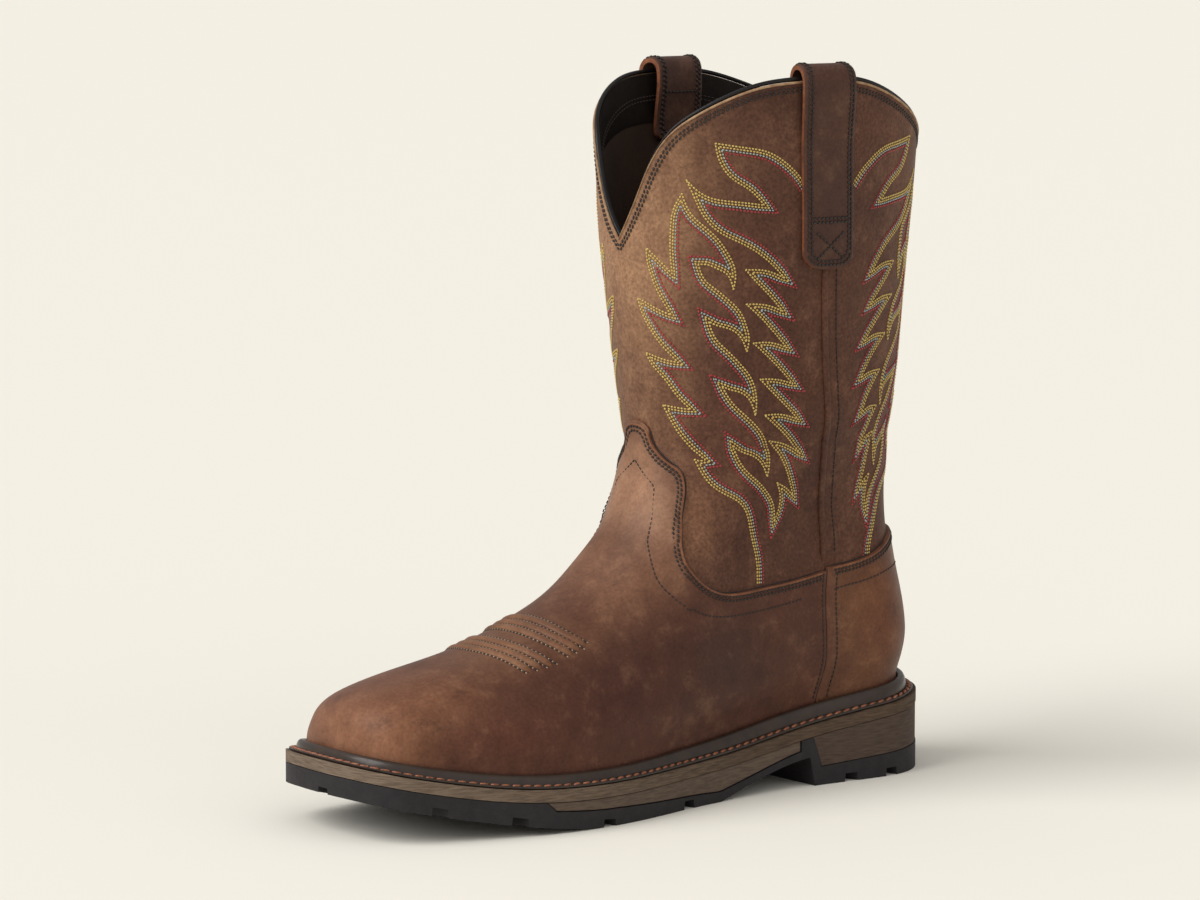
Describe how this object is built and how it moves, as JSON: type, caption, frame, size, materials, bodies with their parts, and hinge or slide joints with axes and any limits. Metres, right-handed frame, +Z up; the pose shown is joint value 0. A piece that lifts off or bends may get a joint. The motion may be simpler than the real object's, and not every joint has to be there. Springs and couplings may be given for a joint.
{
  "type": "western work boot",
  "caption": "Left pull-on western work boot with a scalloped collar, flame stitching, broad square toe and welted lug sole.",
  "frame": {"origin": "on the floor, under the middle of the boot's length and width", "axes": "+Z up, toe towards -Y, the wearer's outer side of this left boot towards +X"},
  "size_m": [0.1172, 0.305, 0.3094],
  "materials": {
    "upper": "oiled, matt",
    "vamp": "oiled, soft sheen",
    "counter": "oiled, soft sheen",
    "side_piping_outer": "oiled, matt",
    "side_piping_inner": "oiled, matt",
    "pull_strap_outer": "oiled, matt",
    "pull_strap_inner": "oiled, matt",
    "collar_binding": "glossy",
    "insole": "matt",
    "welt": "satin",
    "midsole": "matt, grained",
    "sole_panel": "matt, grained",
    "heel_block": "matt, grained",
    "outsole": "matt"
  },
  "bodies": {
    "root": {"upper": "upper", "vamp": "vamp", "counter": "counter", "side_piping_outer": "side_piping_outer", "side_piping_inner": "side_piping_inner", "pull_strap_outer": "pull_strap_outer", "pull_strap_inner": "pull_strap_inner", "collar_binding": "collar_binding", "insole": "insole", "welt": "welt", "midsole": "midsole", "sole_panel": "sole_panel", "heel_block": "heel_block", "outsole": "outsole"}
  },
  "joints": []
}
